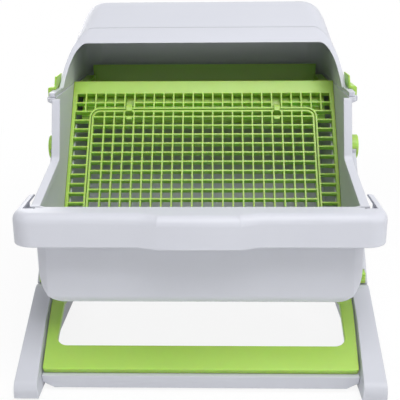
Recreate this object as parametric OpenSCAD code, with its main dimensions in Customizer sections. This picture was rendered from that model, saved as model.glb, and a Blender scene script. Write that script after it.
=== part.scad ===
// Rotating litter box: a tub with sieve, waste tray and hood that tips back on a low stand.
// The front faces -Y. Lengths from front to back are counted from the stand's front feet.

/* [Stand] */
// Depth of the stand from its front feet to its rear feet
stand_d = 530; // [510:1:560]
// Width of each side rail
rail_w = 24; // [22:0.5:28]
// Height where the ramp would meet the front of the feet
foot_h = 21; // [17:1:25]
// Distance from the front feet to the peak of the rails
peak_y = 145; // [140:1:148]
// Height where the slopes of the rails meet
peak_z = 95; // [91:1:99]
// Distance from the front feet to where the rails run level
level_y = 272; // [264:1:284]
// Height of the rails behind the posts
level_z = 32; // [28:1:36]
// Wall thickness of the rails
rail_wall = 3; // [2.4:0.2:4]
// Thickness of the rubber pads under the rails
pad_h = 4; // [3:0.5:5]
// Clearance between parts of the stand that plug together
plug_gap = 0.3; // [0.2:0.05:0.4]

/* [Front frame] */
// Thickness of the sloping front frame
frame_t = 9; // [6:0.5:10]
// How far the frame lies below the slope of the rails
frame_drop = 6; // [4:0.5:8]
// Distance from the front feet to the frame's front edge
frame_y = 29; // [24:1:34]
// Length of the frame along its slope
frame_len = 136; // [128:1:138]
// Length of the frame's front bar along the slope
frame_bar = 36; // [28:1:44]
// Width of the bars beside and behind the window
frame_side = 17; // [12:0.5:20]
// Corner radius of the window
window_r = 14; // [8:1:20]

/* [Pivot] */
// Distance from the front feet to the pivot axis
pivot_y = 305; // [300:1:310]
// Height of the pivot axis
pivot_z = 252; // [250:1:256]
// Radius of the pivot pins
pin_r = 10; // [8:0.5:11]
// Running clearance of the pins in their bushes
pin_clear = 0.06; // [0.03:0.01:0.09]
// Wall thickness of the bushes
bush_t = 3; // [2:0.5:4]
// Wall thickness of the posts and caps round the bushes
saddle_t = 6; // [5:0.5:7]
// Radius of the disc that screws each pivot pin to the tub
disc_r = 24; // [21:0.5:27]
// Gap between the turning parts and the posts
side_gap = 0.8; // [0.6:0.1:1.2]

/* [Tub] */
// Outer width of the tub at the joint with the hood
tub_w = 408; // [400:1:414]
// How much narrower each side is at the floor
tub_draft = 1; // [0.5:0.5:3]
// Distance from the front feet to the tub's front wall
tub_y = 45; // [42:1:48]
// Height of the tub's underside
floor_z = 108; // [105:1:112]
// Distance from the front feet to where the floor starts to curve up
heel_y = 240; // [236:1:244]
// Radius of the tub's curved back
drum_r = 240; // [237:1:242]
// Height of the front rim
rim_z = 238; // [232:1:242]
// Distance from the front feet to the foot of the steep edge
rise_y = 180; // [174:1:186]
// Height of the side rim at the foot of the steep edge
rise_z = 264; // [258:1:268]
// Height of the joint between tub and hood
seam_z = 343; // [340:1:346]
// Wall thickness of the tub
tub_wall = 3; // [2.4:0.1:3.6]
// Radius between floor and side walls
floor_r = 42; // [34:1:46]
// Radius between floor and front wall
front_r = 14; // [10:1:18]
// Width of the thick band along the side rims
band_w = 10; // [7:0.5:11]
// Depth of the thick band along the side rims
band_h = 9; // [6:0.5:11]
// How far the flanges of tub and hood stand out from the tub
flange_out = 7; // [6:0.5:9]
// Thickness of the tub's flange
flange_t = 5; // [4:0.5:6]

/* [Bumper] */
// Width over the bumper's ears
bumper_w = 449; // [445:1:453]
// How far the bumper reaches forward of the tub's front wall
bumper_d = 27; // [24:1:29]
// Height of the bumper
bumper_h = 40; // [32:1:46]
// Wall thickness of the bumper
bumper_wall = 3.5; // [2.6:0.1:4.2]
// Radius along the bumper's upper edge
bumper_r = 12; // [9:0.5:13]
// Length of the ears behind the bumper's corners
ear_len = 66; // [52:1:70]
// Width of the grip in the middle of the bumper
grip_w = 98; // [80:1:120]
// Width of the slope beside the grip
grip_slope = 23; // [16:1:30]
// How far the grip stands forward of the bumper
grip_d = 9; // [5:0.5:12]

/* [Sieve] */
// Angle of the sieve back from upright
lean = 39.4; // [39:0.1:39.8]
// Spacing of the sieve's bars
pitch = 15; // [14.4:0.1:15.2]
// Width of one bar
bar_w = 2.5; // [2:0.1:3.2]
// Depth of the bars square to the sieve
bar_d = 10; // [8:0.5:10.5]
// Height of the plain band along the sieve's top
top_band = 22; // [16:1:26]
// Columns of bars in the flap
flap_cols = 21; // [19:2:21]
// Rows of bars in the flap
flap_rows = 12; // [9:1:12]
// Width of the flap's frame and of the frame round its opening
flap_frame = 3; // [2.6:0.1:3.4]
// Gap between flap and opening
flap_gap = 1.2; // [1:0.1:1.5]
// Corner radius of the flap
flap_r = 12; // [8:1:16]
// Radius of the short round bars that the flap hooks over
bar_r = 2.6; // [2.2:0.1:3]
// Running clearance of these bars in the flap's hooks
bar_clear = 0.08; // [0.04:0.01:0.1]
// Gap between the sieve and the tub
sieve_gap = 0.5; // [0.4:0.05:0.8]

/* [Waste tray] */
// Width of the tray
tray_w = 374; // [350:1:380]
// Depth of the tray
tray_h = 56; // [40:1:60]
// Gap between the tray's back edge and the tub's back wall
tray_behind = 22.962; // [19:0.001:36]
// Height of the tray's back wall above its rim
tray_back_h = 20; // [10:1:24]
// Wall thickness of the tray
tray_wall = 2.5; // [2:0.1:3]

/* [Hood] */
// Height of the hood's crown
crown_z = 461; // [456:1:466]
// Wall thickness of the hood
hood_wall = 3; // [2.4:0.1:3.4]
// Thickness of the hood's flange
hood_flange = 5.7; // [4.6:0.1:6.6]
// Radius of the hood's upper edges
hood_r = 36; // [28:1:40]
// Length of the hood latches
latch_l = 36; // [24:1:42]
// Radius of the latch pins
latch_pin_r = 1.6; // [1.4:0.1:1.8]

/* [Hidden] */
$fn = 64;
big = 700;
shell_grey = [0.86, 0.87, 0.91];
stand_grey = [0.83, 0.84, 0.88];
lime = [0.58, 0.80, 0.24];
bush_white = [0.93, 0.93, 0.92];
pad_black = [0.22, 0.22, 0.24];

// Widths that follow from the tub out to the stand
tub_half = tub_w / 2;
disc_t = 3;
boss_out = 1.2;
disc_in = tub_half + boss_out;
disc_out = disc_in + disc_t;
post_in = disc_out + side_gap;
rail_in = post_in - 2.5;
stand_half = rail_in + rail_w;
flange_half = tub_half + flange_out;

// Slope of the rails in front of and behind their peak
ramp = (peak_z - foot_h) / peak_y;
fall = (peak_z - level_z) / (level_y - peak_y);
ramp_a = atan(ramp);

function ramp_z(y) = peak_z - (peak_y - y) * ramp;
function fall_z(y) = peak_z - (y - peak_y) * fall;

// An outline from corner points [x, y, radius], each corner rounded to its radius
function unit(v) = v / norm(v);
function flat(p) = [p[0], p[1]];
function turned(a) = (a + 540) % 360 - 180;
function corner(a, b, c, n) =
    b[2] == undef || b[2] <= 0 ? [flat(b)] :
    let (u = unit(flat(a) - flat(b)),
         w = unit(flat(c) - flat(b)),
         half = acos(u * w) / 2,
         o = flat(b) + unit(u + w) * b[2] / sin(half),
         p = flat(b) + u * b[2] / tan(half) - o,
         q = flat(b) + w * b[2] / tan(half) - o,
         start = atan2(p[1], p[0]),
         sweep = turned(atan2(q[1], q[0]) - start))
    [for (i = [0:n]) o + b[2] * [cos(start + sweep * i / n), sin(start + sweep * i / n)]];
function outline(p, n = 8) =
    let (m = len(p))
    [for (i = [0:m - 1]) each corner(p[(i + m - 1) % m], p[i], p[(i + 1) % m], n)];
function box(x0, y0, x1, y1, r) = outline([[x0, y0, r], [x1, y0, r], [x1, y1, r], [x0, y1, r]]);

// Lengths are counted from the front feet, and the part stands with its middle on the origin
module place() {
    translate([0, -stand_d / 2, 0])
        children();
}
// A side profile drawn in Y and Z, from x0 to x1
module span(x0, x1) {
    translate([x0, 0, 0])
        rotate([90, 0, 90])
            linear_extrude(x1 - x0)
                children();
}
// A front profile drawn in X and Z, from y0 to y1
module along(y0, y1) {
    translate([0, y1, 0])
        rotate([90, 0, 0])
            linear_extrude(y1 - y0)
                children();
}
module both_sides() {
    children();
    mirror([1, 0, 0])
        children();
}
// The right-hand piece for side 1, its mirror image for side -1
module on_side(s) {
    mirror([s < 0 ? 1 : 0, 0, 0])
        children();
}
// A round bar along X
module bar_x(x0, x1, y, z, r) {
    translate([x0, y, z])
        rotate([0, 90, 0])
            cylinder(h = x1 - x0, r = r);
}

// The tub's form, t inside its outer faces
front_lean = 5;
tub_corner_r = 34;
tub_top = seam_z + 60;
drum_z = floor_z + drum_r;
function tub_half_at(z) = tub_half - tub_draft * (seam_z - z) / (seam_z - floor_z);
function tub_side(t) =
    let (fit = outline([[tub_y + t, tub_top, 0],
                        [tub_y + front_lean + t, floor_z + t, front_r - t],
                        [heel_y, floor_z + t, 0]]))
    concat(fit,
           [for (i = [1:24]) [heel_y + (drum_r - t) * sin(i * 90 / 24),
                              drum_z - (drum_r - t) * cos(i * 90 / 24)]],
           [[heel_y + drum_r - t, tub_top]]);
function tub_front(t) =
    outline([[-tub_half_at(tub_top) + t, tub_top, 0],
             [-tub_half_at(floor_z) + t, floor_z + t, floor_r - t],
             [tub_half_at(floor_z) - t, floor_z + t, floor_r - t],
             [tub_half_at(tub_top) - t, tub_top, 0]]);
function tub_plan(t) =
    box(-tub_half_at(rim_z) - 4 + t, tub_y + t, tub_half_at(rim_z) + 4 - t, heel_y + drum_r - t,
        tub_corner_r - t);
module tub_form(t) {
    intersection() {
        span(-big / 2, big / 2)
            polygon(tub_side(t));
        along(0, big)
            polygon(tub_front(t));
        linear_extrude(tub_top)
            polygon(tub_plan(t));
    }
}
// Everything under the line of the tub's rims
steep_run = 28;
rim_end = tub_y + 15;
function under_rim() =
    outline([[0, 0, 0], [0, rim_z, 0], [rim_end, rim_z, 30], [rise_y, rise_z, 10],
             [rise_y + steep_run, seam_z, 5], [big, seam_z, 0], [big, 0, 0]]);

// The bumper's profile: a rounded top plate and a skirt, out from the wall by d
function bumper_section(d) =
    concat([[-bumper_wall, rim_z]],
           [for (i = [0:8]) [d - bumper_r + bumper_r * sin(i * 90 / 8),
                             rim_z - bumper_r + bumper_r * cos(i * 90 / 8)]],
           [[d, rim_z - bumper_h], [d - bumper_wall, rim_z - bumper_h]],
           [for (i = [8:-1:0]) [d - bumper_r + (bumper_r - bumper_wall) * sin(i * 90 / 8),
                                rim_z - bumper_r + (bumper_r - bumper_wall) * cos(i * 90 / 8)]],
           [[-bumper_wall, rim_z - bumper_wall]]);
// The bumper's profile from x0 to x1, standing forward of the front wall
module bumper_run(x0, x1, d) {
    translate([x0, tub_y, 0])
        rotate([90, 0, 90])
            linear_extrude(x1 - x0)
                mirror([1, 0])
                    polygon(bumper_section(d));
}
bumper_mid = bumper_w / 2 - bumper_d;
ear_y = tub_y + ear_len;
grip_a = atan(grip_d / grip_slope);
module bumper() {
    bumper_run(-grip_w / 2, grip_w / 2, bumper_d + grip_d);
    both_sides() {
        bumper_run(grip_w / 2 + 2, bumper_mid, bumper_d);
        // Slope beside the grip
        translate([grip_w / 2, -bumper_d - grip_d, 0])
            translate([0, tub_y, 0])
                rotate([0, 0, grip_a])
                    translate([0, bumper_d + grip_d - tub_y, 0])
                        bumper_run(0, norm([grip_slope, grip_d]) + bumper_wall, bumper_d + grip_d);
        // Rounded corner and the ear behind it
        translate([bumper_mid, tub_y, 0])
            rotate([0, 0, -90])
                rotate_extrude(angle = 90)
                    intersection() {
                        polygon(bumper_section(bumper_d));
                        translate([2, 0])
                            square([big, big]);
                    }
        intersection() {
            along(tub_y, ear_y)
                translate([bumper_mid, 0])
                    polygon(bumper_section(bumper_d));
            translate([bumper_w / 2 - bumper_r, 0, 0])
                cube([big, big, big]);
            span(0, big)
                polygon(outline([[0, rim_z - bumper_h, 0], [ear_y, rim_z - bumper_h, 18],
                                 [ear_y, rim_z, 10], [0, rim_z, 0]]));
        }
    }
}

// Places on the sieve: s up along it from the flap's upper bar, n out of its front face
mark_y = 308.7;
mark_z = 298.2;
function on_sieve(s, n) = [mark_y + s * sin(lean) - n * cos(lean), mark_z + s * cos(lean) + n * sin(lean)];
module sieve_plane() {
    translate([0, mark_y, mark_z])
        rotate([90 - lean, 0, 0])
            children();
}
sieve_top = 62;
sieve_foot = -(mark_z - floor_z - tub_wall - 2) / cos(lean);
stop_t = 3;
stop_w = 7;
stop_n = -bar_d - plug_gap;
stop_foot = sieve_foot + 40;
ledge_t = 6;
lug_t = 5;
lug_r = 3.6;
latch_y = 244;
latch_x = flange_half + lug_r + 0.4;
latch_z = seam_z - flange_t - 1;
tray_rim_z = seam_z - 4;
spigot_r = 8;
spigot_l = 4;
module tub() {
    color(shell_grey)
        place()
            difference() {
                union() {
                    intersection() {
                        difference() {
                            tub_form(0);
                            tub_form(tub_wall);
                        }
                        span(-big / 2, big / 2)
                            polygon(under_rim());
                    }
                    // Thick band along the sloping and steep edges of the side walls
                    both_sides()
                        span(tub_half - band_w, tub_half + 1)
                            intersection() {
                                difference() {
                                    polygon(under_rim());
                                    translate([band_h * 0.75, -band_h * 0.86])
                                        polygon(under_rim());
                                }
                                translate([rim_end - 8, rim_z - 20])
                                    square([rise_y + steep_run + 9 - rim_end, seam_z - rim_z + 20]);
                            }
                    difference() {
                        union() {
                            bumper();
                            translate([0, 0, seam_z - flange_t])
                                linear_extrude(flange_t)
                                    polygon(outline([[-flange_half, rise_y + steep_run, 4],
                                                     [flange_half, rise_y + steep_run, 4],
                                                     [flange_half, heel_y + drum_r + flange_out, 46],
                                                     [-flange_half, heel_y + drum_r + flange_out, 46]]));
                            both_sides() {
                                bar_x(tub_half - 12, disc_in, pivot_y, pivot_z, disc_r + 2);
                                // Lugs under the flange for the latch pins
                                for (y = [latch_y - lug_t - plug_gap, latch_y + latch_l + plug_gap])
                                    along(y, y + lug_t)
                                        polygon(outline([[latch_x + lug_r, latch_z - lug_r, lug_r - 1],
                                                         [latch_x + lug_r, latch_z + lug_r, lug_r - 1],
                                                         [tub_half - 4, seam_z - 1, 0],
                                                         [tub_half - 4, latch_z - 12, 0]]));
                            }
                        }
                        tub_form(tub_wall);
                    }
                    // Stops behind the sieve and ledges under the tray's rim
                    intersection() {
                        tub_form(tub_wall / 2);
                        both_sides() {
                            span(tub_half - tub_draft - tub_wall - stop_w, tub_half)
                                polygon([on_sieve(0, stop_n), on_sieve(stop_foot, stop_n),
                                         on_sieve(stop_foot, stop_n - stop_t), on_sieve(0, stop_n - stop_t)]);
                            translate([tray_w / 2 + 1, ledge_y, tray_rim_z - plug_gap - ledge_t])
                                cube([big, ledge_l, ledge_t]);
                        }
                    }
                }
                both_sides() {
                    bar_x(disc_in - spigot_l - 0.2, disc_in + 1, pivot_y, pivot_z, spigot_r + 0.03);
                    translate([latch_x, 0, latch_z])
                        rotate([-90, 0, 0])
                            cylinder(h = big, r = latch_pin_r);
                }
            }
}
module trunnion() {
    bar_x(disc_in - spigot_l, disc_in + 1, pivot_y, pivot_z, spigot_r);
    bar_x(disc_in, disc_out, pivot_y, pivot_z, disc_r);
    bar_x(disc_in, stand_half - 0.5, pivot_y, pivot_z, pin_r);
}
module left_trunnion() {
    color(shell_grey)
        place()
            on_side(-1)
                trunnion();
}
module right_trunnion() {
    color(shell_grey)
        place()
            on_side(1)
                trunnion();
}

// The flap is a grid of bars in a frame, hooked over two short round bars of the sieve plate
flap_half = pitch * (flap_cols + 1) / 2 + flap_frame + 1;
flap_low = -pitch * (flap_rows - 1) - 13;
hinge_s = 14.5;
hinge_n = -bar_r;
hinge_gap = 2;
hook_x = pitch * 7.5;
hook_w = 8.6;
hook_t = 3.4;
hook_r = bar_r + hook_t;
open_top = hinge_s - flap_frame / 2;
flap_top = open_top - hinge_gap;
plate_half = tub_half - tub_wall;
open_half = flap_half + flap_gap;
open_low = flap_low - flap_gap;
frame_half = open_half + flap_frame;
grid_top = sieve_top - top_band;
edge_rim = 6;
foot_rim = 4;
// The plate's rows lie between those of the flap
row_shift = 0.62 * pitch;
cell_w = pitch - bar_w;
// Bars of width bar_w at each step of the pitch, from index i0 to i1, over the size given
module bars_up(i0, i1, y0, y1) {
    for (i = [i0:i1])
        translate([i * pitch - bar_w / 2, y0])
            square([bar_w, y1 - y0]);
}
module bars_across(i0, i1, x0, x1) {
    for (i = [i0:i1])
        translate([x0, i * pitch - bar_w / 2])
            square([x1 - x0, bar_w]);
}
// A round bar along the hinge axis, w wide at x
module hinge_bar(x, w, r) {
    bar_x(x - w / 2, x + w / 2, on_sieve(hinge_s, hinge_n)[0], on_sieve(hinge_s, hinge_n)[1], r);
}
// A hook of the flap: a ring over the round bar, open behind and below, on a strap from the frame
module hook(x) {
    difference() {
        union() {
            hinge_bar(x, hook_w, hook_r);
            sieve_plane()
                translate([x - hook_w / 2, flap_top - flap_frame, -1])
                    cube([hook_w, hinge_s - flap_top + flap_frame, 1 + hook_t]);
        }
        hinge_bar(x, 2 * hook_w, bar_r + bar_clear);
        sieve_plane()
            translate([x - hook_w, hinge_s - 0.4 * bar_r - big, hinge_n - 0.2 - big])
                cube([2 * hook_w, big, big]);
    }
    // Finger block under the strap
    sieve_plane()
        translate([x - hook_w / 2, -4.5, -bar_d])
            cube([hook_w, 5, bar_d]);
}
module flap() {
    color(lime)
        place() {
            sieve_plane()
                translate([0, 0, -bar_d])
                    linear_extrude(bar_d)
                        difference() {
                            polygon(box(-flap_half, flap_low, flap_half, flap_top, flap_r));
                            difference() {
                                polygon(box(flap_frame - flap_half, flap_low + flap_frame,
                                            flap_half - flap_frame, flap_top - flap_frame,
                                            flap_r - flap_frame));
                                bars_up(-(flap_cols - 1) / 2, (flap_cols - 1) / 2, flap_low, flap_top);
                                bars_across(1 - flap_rows, 0, -flap_half, flap_half);
                            }
                        }
            for (x = [-hook_x, hook_x])
                hook(x);
        }
}
module sieve_plate() {
    color(lime)
        place()
            intersection() {
                union() {
                    sieve_plane()
                        translate([0, 0, -bar_d])
                            linear_extrude(bar_d)
                                difference() {
                                    translate([-plate_half, sieve_foot])
                                        square([2 * plate_half, sieve_top - sieve_foot]);
                                    // Holes of the grid, left between the bars and the frames
                                    difference() {
                                        translate([-big / 2, sieve_foot + foot_rim])
                                            square([big, grid_top - sieve_foot - foot_rim]);
                                        bars_up(-13, 13, row_shift, sieve_top);
                                        bars_up(-11, 11, sieve_foot, open_low);
                                        translate([0, row_shift])
                                            bars_across(-16, 1, -big / 2, big / 2);
                                        polygon(box(-frame_half, open_low - flap_frame, frame_half,
                                                    open_top + flap_frame, flap_r + flap_gap + flap_frame));
                                        both_sides()
                                            translate([plate_half - edge_rim, sieve_foot])
                                                square([big, big]);
                                    }
                                    polygon(box(-open_half, open_low, open_half, open_top,
                                                flap_r + flap_gap));
                                    // Room for the flap's hooks to turn
                                    for (x = [-hook_x, hook_x])
                                        translate([x - cell_w / 2, open_top - 1])
                                            square([cell_w, grid_top - open_top + 1]);
                                }
                    for (x = [-hook_x, hook_x])
                        hinge_bar(x, cell_w + 2, bar_r);
                }
                along(0, big)
                    polygon(tub_front(tub_wall + sieve_gap));
            }
}

// The tray hangs behind the sieve's top, its front wall parallel to the sieve
tray_gap = 3;
tray_rim = 11;
tray_floor = tray_rim_z - tray_h;
tray_top = on_sieve(0, -bar_d - tray_gap)[0] + (tray_rim_z - on_sieve(0, -bar_d - tray_gap)[1]) * tan(lean);
tray_front = tray_top - tray_h * tan(lean);
tray_lean = 15;
tray_back = heel_y + drum_r - tub_wall - tray_behind - tray_lean;
ledge_y = tray_top + 8;
ledge_l = 86;
function tray_side(t) =
    outline([[tray_top + t / cos(lean), tray_rim_z + t, 0],
             [tray_front + t / cos(lean) + t * tan(lean), tray_floor + t, 8],
             [tray_back - t, tray_floor + t, 14], [tray_back + tray_lean - t, tray_rim_z + t, 0]]);
// The back wall above the rim
module tray_back_wall() {
    translate([-tray_w / 2, tray_back + tray_lean - tray_wall, tray_rim_z])
        cube([tray_w, tray_wall, tray_back_h]);
}
module waste_tray() {
    color(lime)
        place()
            difference() {
                union() {
                    span(-tray_w / 2, tray_w / 2)
                        polygon(tray_side(0));
                    translate([-tray_w / 2 - tray_rim, tray_top, tray_rim_z])
                        cube([tray_w + 2 * tray_rim, tray_back + tray_lean - tray_top, tray_wall]);
                }
                span(tray_wall - tray_w / 2, tray_w / 2 - tray_wall)
                    polygon(tray_side(tray_wall));
            }
    color(lime)
        place()
            tray_back_wall();
}

// The hood's form, t inside its outer faces: sections whose tops follow the roof
hood_back = heel_y + drum_r;
hood_y = rise_y + steep_run + 6;
hood_z = seam_z + plug_gap;
crown_y = 428;
back_r = 40;
function hood_half(z) = lookup(z, [[seam_z, tub_half + 1], [seam_z + 57, tub_half - 5],
                                  [seam_z + 97, tub_half - 13], [seam_z + 140, tub_half - 24]]);
// Roof line: a straight brow to the crown, then over and down the back
roof = [[hood_y, hood_z + hood_flange + 1], [398, crown_z - 13], [412, crown_z - 5], [crown_y, crown_z],
        [444, crown_z - 3], [456, crown_z - 10], [466, crown_z - 21], [474, crown_z - 36],
        [478, crown_z - 50], [hood_back, crown_z - 66]];
function side_in(y) =
    let (run = max(0, y - hood_back + back_r))
    back_r - sqrt(max(0, back_r * back_r - run * run));
function hood_section(y, z, t) =
    let (x = side_in(y) + t,
         r = min(hood_r, (z - hood_z) * 0.9),
         k = seam_z + 57)
    outline(z > k + r + 4 ?
            [[x - hood_half(seam_z), hood_z - t, 0], [hood_half(seam_z) - x, hood_z - t, 0],
             [hood_half(k) - x, k, 0], [hood_half(z) - x, z - t, r - t],
             [x - hood_half(z), z - t, r - t], [x - hood_half(k), k, 0]] :
            [[x - hood_half(seam_z), hood_z - t, 0], [hood_half(seam_z) - x, hood_z - t, 0],
             [hood_half(z) - x, z - t, max(0, r - t)], [x - hood_half(z), z - t, max(0, r - t)]], 6);
module hood_form(t) {
    hull()
        for (p = roof)
            along(min(p[0], hood_back - t) - 0.2, min(p[0], hood_back - t))
                polygon(hood_section(p[0], p[1], t));
}
// All that lies in front of the hood's opening
mouth_y = 259;
mouth_run = 1.19;
function before_mouth(d) =
    [[0, hood_z + hood_flange], [mouth_y + d * 1.55, hood_z + hood_flange],
     [mouth_y + d * 1.55 + 200 * mouth_run, hood_z + hood_flange + 200], [0, hood_z + hood_flange + 200]];
lip_w = 2.5;
lip_out = 1;
lip_in = 1.6;
module hood() {
    color(shell_grey)
        place() {
            difference() {
                union() {
                    difference() {
                        hood_form(0);
                        span(-big / 2, big / 2)
                            polygon(before_mouth(0));
                    }
                    translate([0, 0, hood_z])
                        linear_extrude(hood_flange)
                            polygon(outline([[-flange_half, hood_y, 4], [flange_half, hood_y, 4],
                                             [flange_half, hood_back + flange_out, 46],
                                             [-flange_half, hood_back + flange_out, 46]]));
                }
                hood_form(hood_wall);
                translate([hood_wall - hood_half(seam_z), 0, hood_z - 1])
                    cube([2 * (hood_half(seam_z) - hood_wall), mouth_y + 60, hood_flange + 1]);
            }
            // Rolled lip round the opening
            difference() {
                intersection() {
                    hood_form(-lip_out);
                    span(-big / 2, big / 2)
                        difference() {
                            polygon(before_mouth(lip_w));
                            polygon(before_mouth(0));
                        }
                }
                hood_form(hood_wall + lip_in);
            }
        }
}

// A latch hooks over the hood's flange and turns on a pin under the tub's flange
latch_t = 3.6;
latch_top = hood_z + hood_flange + plug_gap;
latch_tip_z = latch_top + 19;
module latch() {
    along(latch_y, latch_y + latch_l)
        difference() {
            union() {
                translate([latch_x, latch_z])
                    circle(r = lug_r);
                polygon(outline([[flange_half + 0.6, latch_z, 0], [latch_x + lug_r - 0.4, latch_z, 0],
                                 [latch_x + lug_r - 0.4, latch_top + latch_t, 3],
                                 [flange_half - 2, latch_top + latch_t, 2],
                                 [tub_half + 3, latch_tip_z, 1], [tub_half + 0.6, latch_tip_z, 0.8],
                                 [tub_half + 3.2, latch_top, 0.5], [flange_half + 0.6, latch_top, 0.5]], 4));
            }
            translate([latch_x, latch_z])
                circle(r = latch_pin_r + 0.06);
        }
}
module left_latch() {
    color(lime)
        place()
            on_side(-1)
                latch();
}
module right_latch() {
    color(lime)
        place()
            on_side(1)
                latch();
}
module latch_pin() {
    translate([latch_x, latch_y - lug_t - plug_gap, latch_z])
        rotate([-90, 0, 0])
            cylinder(h = latch_l + 2 * lug_t + 2 * plug_gap, r = latch_pin_r - 0.01);
}
module left_latch_pin() {
    color(bush_white)
        place()
            on_side(-1)
                latch_pin();
}
module right_latch_pin() {
    color(bush_white)
        place()
            on_side(1)
                latch_pin();
}

// A side rail: a front foot, a ramp up to the peak, a fall to the level rear, open underneath
rear_r = 14;
arch_h = 6;
foot_run = 60;
arch_run = 76;
function rail_side(t) =
    let (low = pad_h - (t > 0 ? 1 : 0))
    outline([[t, low, 0], [t, foot_h - t * 0.6, 16 - t], [peak_y, peak_z - t * 1.1, 18],
             [level_y, level_z - t, 40], [stand_d - t, level_z - t, rear_r - t], [stand_d - t, low, 0],
             [stand_d - foot_run, low, 0], [stand_d - arch_run, pad_h + arch_h, 0],
             [arch_run, pad_h + arch_h, 0], [foot_run, low, 0]]);
// The front foot widens inwards towards the floor
foot_in = rail_in - 7;
foot_top = 66;
foot_l = 112;
function foot_inner(z) = foot_in + (rail_in - foot_in) * (z - pad_h) / (foot_top - pad_h);
tenon_y = 166;
tenon_l = 38;
tenon_d = 20;
tenon_x = post_in + 6;
tenon_w = 11;
module tenon(g) {
    translate([tenon_x - g, tenon_y - g, fall_z(tenon_y + tenon_l) - tenon_d - g])
        cube([tenon_w + 2 * g, tenon_l + 2 * g, tenon_d + 40]);
}
module under_fall() {
    polygon([[0, -1], [0, fall_z(0)], [big, fall_z(big)], [big, -big]]);
}
module rail() {
    difference() {
        union() {
            difference() {
                span(rail_in, stand_half)
                    polygon(rail_side(0));
                span(rail_in + rail_wall, stand_half - rail_wall)
                    polygon(rail_side(rail_wall));
                span(rail_in + rail_wall, stand_half - rail_wall)
                    translate([arch_run, 0])
                        square([stand_d - 2 * arch_run, pad_h + arch_h + 1]);
            }
            intersection() {
                span(foot_in, stand_half)
                    polygon(rail_side(0));
                along(0, foot_l)
                    polygon([[foot_in, pad_h], [rail_in + 1, pad_h],
                             [rail_in + 1, foot_top], [rail_in, foot_top]]);
            }
            // Socket for the post's tenon and floors over the rubber pads
            intersection() {
                span(rail_in, stand_half)
                    polygon(rail_side(1));
                union() {
                    tenon(3);
                    for (y = [6, stand_d - 52])
                        translate([rail_in + 1, y, pad_h])
                            cube([rail_w - 2, 46, 3]);
                }
            }
        }
        tenon(plug_gap);
    }
}
module left_rail() {
    color(stand_grey)
        place()
            on_side(-1)
                rail();
}
module right_rail() {
    color(stand_grey)
        place()
            on_side(1)
                rail();
}

// A post leans back from the rail to the half-round saddle of the pivot
saddle_r = pin_r + pin_clear + bush_t + saddle_t;
bush_r = pin_r + pin_clear + bush_t;
clip_w = 13;
clip_x = post_in + 5;
clip_z = peak_z - 1.5;
clip_h = 15;
clip_y = 150;
clip_l = 27;
clip_travel = 3;
post_y = 152;
post_end = 216;
post_wall = 7;
post_neck = pivot_z - 6;
tenon_top = 150;
// The post's edges at a share f of the way from the rail to the pivot
function post_height(f) = fall_z(post_y) + f * (post_neck - fall_z(post_y));
function post_front(f) = post_y + f * (pivot_y - saddle_r - post_y);
function post_rear(f) = post_end + f * (pivot_y + saddle_r - post_end);
module post() {
    difference() {
        union() {
            span(post_in, stand_half)
                difference() {
                    union() {
                        difference() {
                            translate([pivot_y, pivot_z])
                                circle(r = saddle_r);
                            translate([pivot_y - big / 2, pivot_z])
                                square([big, big]);
                        }
                        polygon([[post_y, 0], [post_y, fall_z(post_y) + plug_gap + 3],
                                 [pivot_y - saddle_r + 1.2, post_neck], [pivot_y + saddle_r - 1.2, post_neck],
                                 [post_end, fall_z(post_end) + plug_gap], [post_end, 0]]);
                    }
                    translate([0, plug_gap])
                        under_fall();
                    translate([pivot_y, pivot_z])
                        circle(r = bush_r + 0.03);
                }
            intersection() {
                tenon(0);
                span(0, big)
                    square([big, tenon_top]);
            }
        }
        // Hollow on the side that faces the tub
        span(post_in - 1, stand_half - rail_wall)
            polygon(outline([[post_front(0.28) + post_wall, post_height(0.28), 4],
                             [post_rear(0.28) - post_wall, post_height(0.28), 4],
                             [post_rear(0.84) - post_wall, post_height(0.84), 4],
                             [post_front(0.84) + post_wall, post_height(0.84), 4]]));
        // Slot for the clip
        translate([clip_x - plug_gap, 0, clip_z - plug_gap])
            cube([clip_w + 2 * plug_gap, clip_y + clip_l + clip_travel + plug_gap, clip_h + 2 * plug_gap]);
    }
}
module left_post() {
    color(stand_grey)
        place()
            on_side(-1)
                post();
}
module right_post() {
    color(stand_grey)
        place()
            on_side(1)
                post();
}
module bush() {
    difference() {
        bar_x(post_in + 0.2, stand_half - 0.2, pivot_y, pivot_z, bush_r);
        bar_x(0, big, pivot_y, pivot_z, pin_r + pin_clear);
    }
}
module left_bush() {
    color(bush_white)
        place()
            on_side(-1)
                bush();
}
module right_bush() {
    color(bush_white)
        place()
            on_side(1)
                bush();
}
cap_plate = 3.6;
module pivot_cap() {
    difference() {
        bar_x(post_in, stand_half + cap_plate, pivot_y, pivot_z, saddle_r - 1);
        translate([0, 0, pivot_z - big + plug_gap])
            cube([stand_half + plug_gap, big, big]);
        bar_x(0, stand_half + plug_gap, pivot_y, pivot_z, bush_r + 0.03);
    }
}
module left_pivot_cap() {
    color(lime)
        place()
            on_side(-1)
                pivot_cap();
}
module right_pivot_cap() {
    color(lime)
        place()
            on_side(1)
                pivot_cap();
}
// A press tab with ribs across its face, that slides into the post
clip_ribs = 4;
rib_d = 1.6;
module clip() {
    translate([clip_x, clip_y + rib_d, clip_z])
        cube([clip_w, clip_l - rib_d, clip_h]);
    for (i = [0:clip_ribs - 1])
        translate([clip_x + 1, clip_y, clip_z + 1 + i * (clip_h - 3.4) / (clip_ribs - 1)])
            cube([clip_w - 2, rib_d + 1, 1.4]);
}
module left_clip() {
    color(lime)
        place()
            on_side(-1)
                clip();
}
module right_clip() {
    color(lime)
        place()
            on_side(1)
                clip();
}

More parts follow.
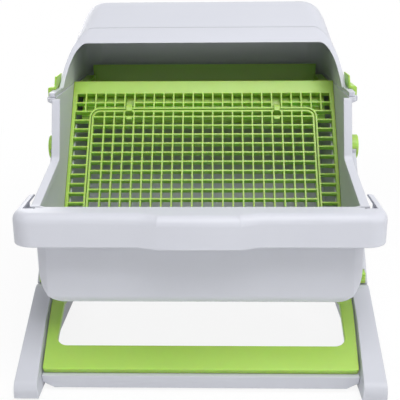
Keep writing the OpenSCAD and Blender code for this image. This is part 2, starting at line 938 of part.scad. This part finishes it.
// The green frame lies on the slope between the rails, round a wide window
frame_gap = 1.4;
frame_rear_half = rail_in - frame_gap;
frame_front_half = foot_inner(ramp_z(frame_y) - frame_drop - frame_t) - frame_gap;
frame_r = 3;
module front_frame() {
    color(lime)
        place()
            translate([0, frame_y, ramp_z(frame_y) - frame_drop / cos(ramp_a)])
                rotate([ramp_a, 0, 0])
                    translate([0, 0, -frame_t])
                        linear_extrude(frame_t)
                            difference() {
                                polygon(outline([[-frame_front_half, 0, frame_r],
                                                 [frame_front_half, 0, frame_r],
                                                 [frame_rear_half, frame_len * 0.7, 0],
                                                 [frame_rear_half, frame_len, frame_r],
                                                 [-frame_rear_half, frame_len, frame_r],
                                                 [-frame_rear_half, frame_len * 0.7, 0]]));
                                polygon(box(frame_side - frame_rear_half, frame_bar,
                                            frame_rear_half - frame_side, frame_len - frame_side,
                                            window_r));
                            }
}
cross_half = foot_in - plug_gap;
rear_half = rail_in - plug_gap;
cross_y = 26;
cross_d = 36;
cross_z = pad_h;
cross_bevel = 14;
function cross_end(z) = foot_inner(z) - plug_gap;
function cross_top(y) = ramp_z(y) - (frame_drop + frame_t + plug_gap) / cos(ramp_a);
function cross_side(t) =
    let (rear = cross_y + cross_d - t)
    [[cross_y + t, cross_z - t], [rear, cross_z - t], [rear, cross_top(rear) - t],
     [cross_y + 8, cross_top(cross_y + 8) - t], [cross_y + t, cross_top(cross_y + 8) - t]];
module front_crossbar() {
    color(stand_grey)
        place()
            difference() {
                intersection() {
                    span(-rail_in, rail_in)
                        polygon(cross_side(0));
                    along(0, big)
                        polygon([[-cross_end(foot_top), foot_top], [-cross_end(cross_z + 8), cross_z + 8],
                                 [cross_bevel - cross_half, cross_z], [cross_half - cross_bevel, cross_z],
                                 [cross_end(cross_z + 8), cross_z + 8], [cross_end(foot_top), foot_top]]);
                }
                span(cross_bevel + rail_wall - cross_half, cross_half - cross_bevel - rail_wall)
                    polygon(cross_side(rail_wall));
            }
}
rear_y = 472;
rear_d = 36;
rear_h = 22;
module rear_crossbar() {
    color(stand_grey)
        place()
            span(-rear_half, rear_half)
                difference() {
                    polygon(box(rear_y, pad_h + 2, rear_y + rear_d, pad_h + 2 + rear_h, 5));
                    translate([rear_y + rail_wall, 0])
                        square([rear_d - 2 * rail_wall, pad_h + 2 + rear_h - rail_wall]);
                }
}
pad_l = 34;
pad_inset = 4;
module foot_pads() {
    color(pad_black)
        place()
            both_sides()
                for (y = [12, stand_d - 12 - pad_l])
                    linear_extrude(pad_h)
                        polygon(box(rail_in + pad_inset, y, stand_half - pad_inset, y + pad_l, 5));
}

tub();
left_trunnion();
right_trunnion();
sieve_plate();
flap();
waste_tray();
hood();
left_latch();
right_latch();
left_latch_pin();
right_latch_pin();
left_rail();
right_rail();
left_post();
right_post();
left_bush();
right_bush();
left_pivot_cap();
right_pivot_cap();
left_clip();
right_clip();
front_frame();
front_crossbar();
rear_crossbar();
foot_pads();
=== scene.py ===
import math

import bmesh
import bpy
from mathutils import Euler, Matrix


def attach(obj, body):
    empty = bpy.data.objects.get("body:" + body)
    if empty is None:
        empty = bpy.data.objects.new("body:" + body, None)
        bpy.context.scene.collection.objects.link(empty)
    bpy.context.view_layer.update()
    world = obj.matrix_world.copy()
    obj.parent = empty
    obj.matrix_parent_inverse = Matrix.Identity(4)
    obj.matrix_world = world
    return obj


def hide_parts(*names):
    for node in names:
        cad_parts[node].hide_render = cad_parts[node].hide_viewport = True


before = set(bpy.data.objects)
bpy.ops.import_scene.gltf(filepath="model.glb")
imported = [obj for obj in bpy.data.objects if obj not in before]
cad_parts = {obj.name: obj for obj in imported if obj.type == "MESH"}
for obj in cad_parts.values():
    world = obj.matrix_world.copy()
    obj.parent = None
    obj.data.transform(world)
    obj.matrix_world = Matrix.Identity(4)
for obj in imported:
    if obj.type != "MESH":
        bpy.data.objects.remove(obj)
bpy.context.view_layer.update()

# Tub: the pale grey pan that holds the litter, with its bumper and flange in one moulding.
# Injection-moulded polypropylene with a fine satin grain.
# Its edges are softened in the finish, as a mould's corners always are.


def satin_plastic(name, base, tint, rough, grain):
    """Moulded plastic: a slow drift of colour, patchy gloss and a fine spark-eroded grain."""
    finish = bpy.data.materials.new(name)
    finish.use_nodes = True
    nodes, links = finish.node_tree.nodes, finish.node_tree.links
    shader = nodes["Principled BSDF"]
    where = nodes.new("ShaderNodeTexCoord")

    drift = nodes.new("ShaderNodeTexNoise")
    drift.inputs["Scale"].default_value = 7.0
    drift.inputs["Detail"].default_value = 4.0
    links.new(where.outputs["Object"], drift.inputs["Vector"])
    colour = nodes.new("ShaderNodeMix")
    colour.data_type = "RGBA"
    colour.inputs["A"].default_value = (*base, 1.0)
    colour.inputs["B"].default_value = (*tint, 1.0)
    links.new(drift.outputs["Fac"], colour.inputs["Factor"])
    links.new(colour.outputs["Result"], shader.inputs["Base Color"])

    patches = nodes.new("ShaderNodeTexNoise")
    patches.inputs["Scale"].default_value = 46.0
    patches.inputs["Detail"].default_value = 5.0
    links.new(where.outputs["Object"], patches.inputs["Vector"])
    gloss = nodes.new("ShaderNodeMapRange")
    gloss.inputs["To Min"].default_value = rough - 0.06
    gloss.inputs["To Max"].default_value = rough + 0.08
    links.new(patches.outputs["Fac"], gloss.inputs["Value"])
    links.new(gloss.outputs["Result"], shader.inputs["Roughness"])

    erosion = nodes.new("ShaderNodeTexNoise")
    erosion.inputs["Scale"].default_value = grain
    erosion.inputs["Detail"].default_value = 2.0
    links.new(where.outputs["Object"], erosion.inputs["Vector"])
    skin = nodes.new("ShaderNodeBump")
    skin.inputs["Strength"].default_value = 0.10
    skin.inputs["Distance"].default_value = 0.0004
    corners = nodes.new("ShaderNodeBevel")
    corners.samples = 6
    corners.inputs["Radius"].default_value = 0.0014
    links.new(corners.outputs["Normal"], skin.inputs["Normal"])
    links.new(erosion.outputs["Fac"], skin.inputs["Height"])
    links.new(skin.outputs["Normal"], shader.inputs["Normal"])
    shader.inputs["IOR"].default_value = 1.49
    return finish


def eased(node, edge, finish, body):
    """A copy of a solid with its sharp edges rounded by edge, shaded smooth between them."""
    merge_gap = 2e-6
    bevel_angle = math.radians(28.0)
    crease_angle = math.radians(35.0)
    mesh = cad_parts[node].data.copy()
    mesh.materials.clear()
    work = bmesh.new()
    work.from_mesh(mesh)
    bmesh.ops.remove_doubles(work, verts=work.verts, dist=merge_gap)
    if edge > 0.0:
        sharp = [e for e in work.edges
                 if len(e.link_faces) == 2 and e.calc_face_angle(0.0) > bevel_angle]
        bmesh.ops.bevel(work, geom=sharp, offset=edge, offset_type="OFFSET", affect="EDGES",
                        segments=2, profile=0.5, material=-1, clamp_overlap=False)
        bmesh.ops.triangulate(work, faces=[f for f in work.faces if len(f.verts) > 4])
    for face in work.faces:
        face.smooth = True
    for rim in work.edges:
        rim.smooth = rim.calc_face_angle(0.0) < crease_angle
    work.to_mesh(mesh)
    work.free()
    piece = bpy.data.objects.new(node + "_moulding", mesh)
    bpy.context.collection.objects.link(piece)
    mesh.materials.append(finish)
    facing = piece.modifiers.new("facing", "WEIGHTED_NORMAL")
    facing.keep_sharp = True
    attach(piece, body)
    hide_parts(node)


shell_plastic = satin_plastic("shell_plastic", base=(0.590, 0.603, 0.665), tint=(0.622, 0.634, 0.694),
                              rough=0.44, grain=900.0)
eased("tub", edge=0.0, finish=shell_plastic, body="box")

# Trunnions: a disc with a pivot pin on each side of the tub, in the tub's own plastic.
# Each is pressed into a socket in the tub's wall by a short spigot.
for side in ("left", "right"):
    eased(side + "_trunnion", edge=0.0006, finish=shell_plastic, body="box")

# Sieve plate: the lime green grid that leans back across the tub.
# One polypropylene moulding, glossier than the tub, with two short round bars for the flap.
# Its thin bars let some light through, as unfilled polypropylene does.
lime_plastic = satin_plastic("lime_plastic", base=(0.375, 0.600, 0.090), tint=(0.410, 0.635, 0.110),
                             rough=0.36, grain=1100.0)
lime_shader = lime_plastic.node_tree.nodes["Principled BSDF"]
lime_shader.inputs["Subsurface Weight"].default_value = 0.55
lime_shader.inputs["Subsurface Radius"].default_value = (0.55, 1.0, 0.12)
lime_shader.inputs["Subsurface Scale"].default_value = 0.010
eased("sieve_plate", edge=0.0004, finish=lime_plastic, body="box")

# Flap: the grid door in the sieve, moulded in its plastic with two hooks at the top edge.
# The hooks snap over the sieve's two short round bars, and the flap swings on them.
eased("flap", edge=0.0, finish=lime_plastic, body="flap_door")

# Waste tray: a deep trough behind the top of the sieve, moulded in the sieve's plastic.
# It hangs by its side rims on two ledges inside the tub and lifts out to be emptied.
eased("waste_tray", edge=0.0, finish=lime_plastic, body="box")

# Hood: the pale grey shell over the tray, with a rolled lip round its mouth.
# Moulded in the tub's plastic, it stands on the tub's flange and is held by two latches.
eased("hood", edge=0.0, finish=shell_plastic, body="box")

# Latches: lime green hooks that turn on pins under the tub's flange and grip the hood's.
# Each is a short plastic moulding with a thumb tip that stands up beside the hood.
for side in ("left", "right"):
    eased(side + "_latch", edge=0.0004, finish=lime_plastic, body="latch_" + side[0])

# Latch pins: short ground steel pins pressed into the tub's lugs, one through each latch.
# Only their ends show, at the outer faces of the lugs.


def ground_steel(name):
    """Drawn wire ground to size: bright, with fine rings round it."""
    finish = bpy.data.materials.new(name)
    finish.use_nodes = True
    nodes, links = finish.node_tree.nodes, finish.node_tree.links
    shader = nodes["Principled BSDF"]
    shader.inputs["Base Color"].default_value = (0.62, 0.63, 0.65, 1.0)
    shader.inputs["Metallic"].default_value = 1.0
    where = nodes.new("ShaderNodeTexCoord")
    rings = nodes.new("ShaderNodeTexWave")
    rings.bands_direction = "Y"
    rings.inputs["Scale"].default_value = 700.0
    rings.inputs["Distortion"].default_value = 1.2
    links.new(where.outputs["Object"], rings.inputs["Vector"])
    gloss = nodes.new("ShaderNodeMapRange")
    gloss.inputs["To Min"].default_value = 0.22
    gloss.inputs["To Max"].default_value = 0.34
    links.new(rings.outputs["Fac"], gloss.inputs["Value"])
    links.new(gloss.outputs["Result"], shader.inputs["Roughness"])
    return finish


steel = ground_steel("ground_steel")
for side in ("left", "right"):
    eased(side + "_latch_pin", edge=0.0002, finish=steel, body="box")

# Rails: the two side rails of the stand, with a sloping front foot and a level rear.
# Hollow polypropylene mouldings, open underneath, in the tub's grey darkened by a tenth as painted
# shade.
# The same hue as the tub's plastic, darker by a tenth: painted shade for the rails, posts and
# crossbars.
stand_grey_painted_shade = satin_plastic("stand_grey_painted_shade", base=(0.535, 0.547, 0.602), tint=(0.565, 0.577, 0.631),
                              rough=0.46, grain=850.0)
for side in ("left", "right"):
    eased(side + "_rail", edge=0.0010, finish=stand_grey_painted_shade, body="stand")

# Posts: the arms that lean back from the rails and carry the pivots, in the rails' plastic.
# Each plugs into its rail by a tenon and is held there by the green clip.
for side in ("left", "right"):
    eased(side + "_post", edge=0.0008, finish=stand_grey_painted_shade, body="stand")

# Bushes: white acetal sleeves round the pivot pins, held in the posts' saddles.
# Turned smooth, with the faint sheen of a bearing plastic.
acetal = satin_plastic("acetal", base=(0.840, 0.840, 0.815), tint=(0.870, 0.870, 0.850),
                       rough=0.30, grain=1300.0)
for side in ("left", "right"):
    eased(side + "_bush", edge=0.0003, finish=acetal, body="stand")

# Pivot caps: half-rounds of lime green plastic that close the saddles over the bushes.
# They press down on to the posts and hide the ends of the pivot pins.
for side in ("left", "right"):
    eased(side + "_pivot_cap", edge=0.0006, finish=lime_plastic, body="stand")

# Clips: press tabs of lime green plastic, ribbed across their faces, at the feet of the posts.
# Pressing one in frees its post from the rail.
for side in ("left", "right"):
    eased(side + "_clip", edge=0.0003, finish=lime_plastic, body="clip_" + side[0])

# Front frame: the lime green frame that lies on the slope between the rails.
# A flat plastic moulding round a wide window, through which spilt litter drops.
eased("front_frame", edge=0.0010, finish=lime_plastic, body="stand")

# Crossbars: the grey ties between the rails, one under the front frame and one at the rear.
# Hollow channels moulded in the rails' plastic, whose grey is darkened as painted shade.
for end in ("front", "rear"):
    eased(end + "_crossbar", edge=0.0010, finish=stand_grey_painted_shade, body="stand")

# Foot pads: four rubber pads under the ends of the rails, so the stand doesn't creep.
# Moulded black rubber with a dull pebbled skin.


def pad_rubber(name):
    """Dull black rubber with a pebbled skin."""
    finish = bpy.data.materials.new(name)
    finish.use_nodes = True
    nodes, links = finish.node_tree.nodes, finish.node_tree.links
    shader = nodes["Principled BSDF"]
    where = nodes.new("ShaderNodeTexCoord")
    pebbles = nodes.new("ShaderNodeTexVoronoi")
    pebbles.inputs["Scale"].default_value = 700.0
    links.new(where.outputs["Object"], pebbles.inputs["Vector"])
    colour = nodes.new("ShaderNodeMix")
    colour.data_type = "RGBA"
    colour.inputs["A"].default_value = (0.020, 0.020, 0.022, 1.0)
    colour.inputs["B"].default_value = (0.038, 0.038, 0.040, 1.0)
    links.new(pebbles.outputs["Distance"], colour.inputs["Factor"])
    links.new(colour.outputs["Result"], shader.inputs["Base Color"])
    skin = nodes.new("ShaderNodeBump")
    skin.inputs["Strength"].default_value = 0.35
    skin.inputs["Distance"].default_value = 0.0005
    links.new(pebbles.outputs["Distance"], skin.inputs["Height"])
    links.new(skin.outputs["Normal"], shader.inputs["Normal"])
    shader.inputs["Roughness"].default_value = 0.82
    return finish


eased("foot_pads", edge=0.0005, finish=pad_rubber("pad_rubber"), body="stand")

# Floor: a plain white studio sweep that keeps the object's shadow.
# It shows white to the camera, wholly so away from the stand, and returns soft light on to it.


def white_rays(tree):
    """1 for the rays that see plain white: from the camera, through glass and off gloss."""
    path = tree.nodes.new("ShaderNodeLightPath")
    shown = path.outputs["Is Camera Ray"]
    for kind in ("Is Transmission Ray", "Is Glossy Ray"):
        either = tree.nodes.new("ShaderNodeMath")
        either.operation = "MAXIMUM"
        tree.links.new(shown, either.inputs[0])
        tree.links.new(path.outputs[kind], either.inputs[1])
        shown = either.outputs["Value"]
    return shown


sweep_half = 6.0
floor_mesh = bpy.data.meshes.new("floor")
sweep = bmesh.new()
bmesh.ops.create_grid(sweep, x_segments=1, y_segments=1, size=sweep_half)
sweep.to_mesh(floor_mesh)
sweep.free()
floor = bpy.data.objects.new("floor", floor_mesh)
bpy.context.collection.objects.link(floor)
paper = bpy.data.materials.new("white_paper")
paper.use_nodes = True
paper_nodes, paper_links = paper.node_tree.nodes, paper.node_tree.links
paper_shader = paper_nodes["Principled BSDF"]
paper_shader.inputs["Base Color"].default_value = (0.90, 0.90, 0.90, 1.0)
paper_shader.inputs["Roughness"].default_value = 0.9
paper_glow = paper_nodes.new("ShaderNodeEmission")
paper_glow.inputs["Strength"].default_value = 1.0
paper_place = paper_nodes.new("ShaderNodeTexCoord")
paper_reach = paper_nodes.new("ShaderNodeVectorMath")
paper_reach.operation = "LENGTH"
paper_links.new(paper_place.outputs["Object"], paper_reach.inputs[0])
paper_fade = paper_nodes.new("ShaderNodeMapRange")
paper_fade.interpolation_type = "SMOOTHSTEP"
paper_fade.inputs["From Min"].default_value = 0.45
paper_fade.inputs["From Max"].default_value = 1.50
paper_fade.inputs["To Min"].default_value = 0.88
paper_fade.inputs["To Max"].default_value = 1.0
paper_links.new(paper_reach.outputs["Value"], paper_fade.inputs["Value"])
paper_share = paper_nodes.new("ShaderNodeMath")
paper_share.operation = "MULTIPLY"
paper_links.new(white_rays(paper.node_tree), paper_share.inputs[0])
paper_links.new(paper_fade.outputs["Result"], paper_share.inputs[1])
paper_mix = paper_nodes.new("ShaderNodeMixShader")
paper_links.new(paper_share.outputs["Value"], paper_mix.inputs["Fac"])
paper_links.new(paper_shader.outputs["BSDF"], paper_mix.inputs[1])
paper_links.new(paper_glow.outputs["Emission"], paper_mix.inputs[2])
paper_links.new(paper_mix.outputs["Shader"], paper_nodes["Material Output"].inputs["Surface"])
floor_mesh.materials.append(paper)

# Studio: a white room lit from its ceiling, a large soft lamp over the front, one at the side,
# a weak one behind and a low white card before the stand. The room shows white behind the object.
room = bpy.data.worlds.new("white_room")
bpy.context.scene.world = room
room.use_nodes = True
room_nodes, room_links = room.node_tree.nodes, room.node_tree.links
room_light = room_nodes["Background"]
room_light.inputs["Color"].default_value = (1.0, 1.0, 1.0, 1.0)
room_place = room_nodes.new("ShaderNodeTexCoord")
room_axes = room_nodes.new("ShaderNodeSeparateXYZ")
room_links.new(room_place.outputs["Generated"], room_axes.inputs["Vector"])
room_height = room_nodes.new("ShaderNodeMapRange")
room_height.inputs["From Min"].default_value = 0.0
room_height.inputs["From Max"].default_value = 1.0
room_height.inputs["To Min"].default_value = 0.10
room_height.inputs["To Max"].default_value = 0.60
room_links.new(room_axes.outputs["Z"], room_height.inputs["Value"])
room_links.new(room_height.outputs["Result"], room_light.inputs["Strength"])
room_white = room_nodes.new("ShaderNodeBackground")
room_white.inputs["Color"].default_value = (1.0, 1.0, 1.0, 1.0)
room_white.inputs["Strength"].default_value = 1.0
room_mix = room_nodes.new("ShaderNodeMixShader")
room_links.new(white_rays(room.node_tree), room_mix.inputs["Fac"])
room_links.new(room_light.outputs["Background"], room_mix.inputs[1])
room_links.new(room_white.outputs["Background"], room_mix.inputs[2])
room_links.new(room_mix.outputs["Shader"], room_nodes["World Output"].inputs["Surface"])


def soft_lamp(name, place, turn, width, depth, watts):
    """A soft box that faces along its own -Z."""
    light = bpy.data.lights.new(name, "AREA")
    light.shape = "RECTANGLE"
    light.size = width
    light.size_y = depth
    light.energy = watts
    lamp = bpy.data.objects.new(name, light)
    lamp.location = place
    lamp.rotation_euler = Euler([math.radians(a) for a in turn])
    bpy.context.collection.objects.link(lamp)


soft_lamp("key", (0.35, -1.05, 2.2), (26.0, 8.0, 0.0), width=1.4, depth=1.4, watts=36.0)
soft_lamp("side", (1.9, -0.3, 1.0), (0.0, 68.0, 0.0), width=1.2, depth=1.2, watts=8.0)
soft_lamp("back", (-0.9, 2.0, 0.9), (-72.0, 0.0, 24.0), width=1.2, depth=1.2, watts=12.0)
soft_lamp("card", (0.0, -0.85, 0.10), (105.0, 0.0, 0.0), width=1.0, depth=0.18, watts=0.60)

# Camera: at the photograph's place, in front of the box and a little above its top.
# It looks down into the tub, with the bumper's grip near the middle of the picture.
view = bpy.data.cameras.new("view")
view.sensor_width = 36.0
view.lens = 64.96
camera = bpy.data.objects.new("view", view)
camera.location = (0.0218, -1.0391, 0.5081)
camera.rotation_euler = Euler([math.radians(a) for a in (72.419, 0.433, 1.296)])
bpy.context.collection.objects.link(camera)
bpy.context.scene.camera = camera
bpy.context.scene.view_settings.view_transform = "Standard"
